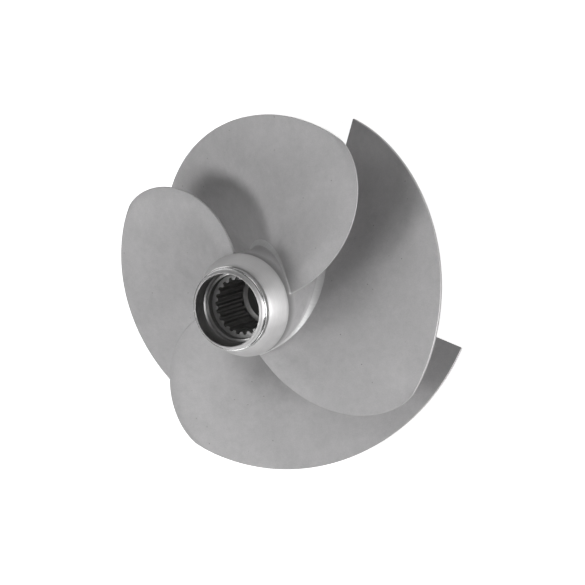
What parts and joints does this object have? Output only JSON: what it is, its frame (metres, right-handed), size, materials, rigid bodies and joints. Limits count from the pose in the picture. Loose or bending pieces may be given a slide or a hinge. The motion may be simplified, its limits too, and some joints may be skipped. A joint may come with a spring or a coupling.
{
  "type": "personal watercraft impeller",
  "caption": "One-piece cast stainless jet pump impeller with swept, overlapping blades and a splined bore.",
  "frame": {"origin": "centre of the hub's flat rear face, on the axis of rotation", "axes": "+Z along the axis of rotation, towards the splined front end, where the water comes in; +X roughly where one blade's leading edge meets the hub"},
  "size_m": [0.161, 0.161, 0.078],
  "materials": {
    "cast_stainless": "bead-blasted casting, satin, with a bright machined lip and bore"
  },
  "bodies": {
    "root": {"impeller_casting": "cast_stainless"}
  },
  "joints": []
}
